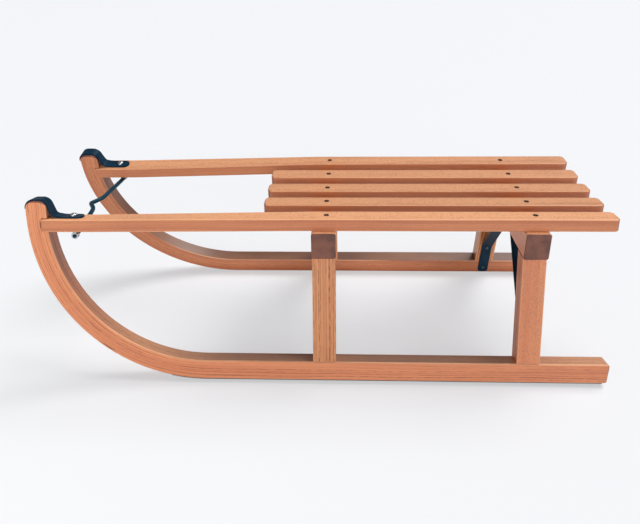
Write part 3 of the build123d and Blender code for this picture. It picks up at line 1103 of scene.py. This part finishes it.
@dataclass(frozen=True)
class Lamp:
    """A soft lamp far off, by the direction that its light comes from, its strength and how wide it looks."""

    name: str
    source: Vector
    strength: float
    degrees_wide: float
    colour: Colour = (1.0, 1.0, 1.0)

    def add(self) -> None:
        """Adds the lamp to the scene."""
        data = bpy.data.lights.new(self.name, "SUN")
        data.energy, data.angle, data.color = self.strength, math.radians(self.degrees_wide), self.colour
        hang(data, self.source, -self.source)


@dataclass(frozen=True)
class Panel:
    """A soft lamp close by, by its place, the point that it shines on, its side and its power in watts."""

    name: str
    place: Vector
    aim: Vector
    side: float
    watts: float
    colour: Colour

    def add(self) -> None:
        """Adds the panel to the scene."""
        data = bpy.data.lights.new(self.name, "AREA")
        data.energy, data.size, data.color = self.watts, self.side, self.colour
        hang(data, self.place, self.aim - self.place)


@dataclass
class Studio:
    """Floor, lamps, backdrop colour and view settings."""

    floor_half: float = 30.0
    backdrop: Colour = srgb(247, 248, 250)
    fill: Colour = (0.93, 0.96, 1.0)
    fill_strength: float = 0.26
    lamps: tuple[Union[Lamp, Panel], ...] = (
        Lamp("key", Vector((1.0, 0.55, 1.9)), 3.3, 36.0, (1.0, 0.985, 0.96)),
        Lamp("front", Vector((0.35, -2.4, 0.7)), 1.55, 40.0),
        Panel("horns", Vector((-0.85, -1.1, 0.5)), Vector((-0.42, -0.15, 0.25)), 0.6, 2.2, (1.0, 0.86, 0.66)),
    )

    def floor(self) -> None:
        """Makes the floor."""
        half = self.floor_half
        corners = [(-half, -half, 0.0), (half, -half, 0.0), (half, half, 0.0), (-half, half, 0.0)]
        data = bpy.data.meshes.new("floor")
        data.from_pydata(corners, [], [(0, 1, 2, 3)])
        piece = added("floor", data)
        dress(piece, PlainFloor().make())

    def world(self) -> None:
        """Sets the soft light from all round, and the backdrop that the camera sees."""
        world = bpy.data.worlds.new("studio")
        world.use_nodes = True
        nodes, links = world.node_tree.nodes, world.node_tree.links
        nodes["Background"].inputs["Color"].default_value = (*self.fill, 1.0)
        nodes["Background"].inputs["Strength"].default_value = self.fill_strength
        seen = nodes.new("ShaderNodeBackground")
        seen.inputs["Color"].default_value = (*self.backdrop, 1.0)
        path, mix = nodes.new("ShaderNodeLightPath"), nodes.new("ShaderNodeMixShader")
        links.new(path.outputs["Is Camera Ray"], mix.inputs[0])
        links.new(nodes["Background"].outputs[0], mix.inputs[1])
        links.new(seen.outputs[0], mix.inputs[2])
        links.new(mix.outputs[0], nodes["World Output"].inputs["Surface"])
        bpy.context.scene.world = world

    def build(self) -> None:
        """Sets up floor, light and view."""
        self.floor()
        self.world()
        for lamp in self.lamps:
            lamp.add()
        bpy.context.scene.view_settings.view_transform = "Standard"
        log.info("studio ready")


@dataclass(frozen=True)
class Viewpoint:
    """The camera that sees the sled as the photograph does."""

    place: Vector = Vector((0.0411, -0.9789, 0.7562))
    yaw: float = -2.43
    pitch: float = -23.05
    roll: float = -1.04
    sensor: float = 36.0
    lens: float = 32.506
    shift_up: float = -0.1516
    nearest: float = 0.05
    farthest: float = 100.0

    def build(self) -> None:
        """Adds the camera to the scene."""
        yaw, pitch, roll = (math.radians(angle) for angle in (self.yaw, self.pitch, self.roll))
        ahead = Vector((math.sin(yaw) * math.cos(pitch), math.cos(yaw) * math.cos(pitch), math.sin(pitch)))
        level = Vector((math.cos(yaw), -math.sin(yaw), 0.0))
        upright = level.cross(ahead)
        right = level * math.cos(roll) + upright * math.sin(roll)
        up = upright * math.cos(roll) - level * math.sin(roll)
        data = bpy.data.cameras.new("camera")
        data.sensor_width, data.lens, data.shift_y = self.sensor, self.lens, self.shift_up
        data.clip_start, data.clip_end = self.nearest, self.farthest
        turned = Matrix((right, up, -ahead)).transposed().to_4x4()
        camera = added("camera", data)
        camera.matrix_world = Matrix.Translation(self.place) @ turned
        bpy.context.scene.camera = camera
        log.info("camera ready")


def main() -> None:
    """Dresses the frame, adds the small fasteners, and sets up the studio and the camera."""
    logging.basicConfig(level=logging.INFO, format="%(name)s: %(message)s")
    nodes = frame["nodes"]
    wood, paint, lean = Beech(), PaintedIron(), Lean()
    bolt = BareMetal(srgb(206, 210, 214), srgb(150, 155, 160), srgb(96, 84, 74), 0.24, (500.0, 500.0, 90.0))
    zinc = BareMetal(srgb(206, 188, 132), srgb(168, 146, 92), srgb(110, 92, 60), 0.30, (400.0, 400.0, 400.0))
    shoe = BareMetal(srgb(96, 98, 102), srgb(56, 58, 62), srgb(70, 46, 34), 0.38, (12.0, 900.0, 900.0), 0.6)
    dark = BareMetal(srgb(56, 50, 46), srgb(32, 28, 26), srgb(28, 22, 18), 0.5, (700.0, 700.0, 700.0), 0.4)
    worn = BareMetal(srgb(92, 118, 128), srgb(58, 82, 94), srgb(30, 44, 52), 0.46, (500.0, 500.0, 500.0), 0.5)

    hollow = Hollow(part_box("slat_middle")[0].z)
    seat, yokes, runners, horns = Seat(hollow, lean), Yokes(lean, hollow.low), Runners(lean), Horns(lean)
    seat.dress(nodes, wood)
    yokes.dress(nodes, wood, paint)
    runners.dress(nodes, wood, shoe)
    horns.dress(nodes, paint, bolt, zinc)
    horns.domes(bolt.make("steel_domes", seed=12.0))
    seat.screws(dark.make("dark_screws", seed=14.0))
    yokes.screws(worn.make("dulled_screws", seed=16.0))
    runners.screws(shoe.make("steel_shoe_screws", seed=18.0))
    Studio().build()
    Viewpoint().build()


if __name__ == "__main__":
    main()
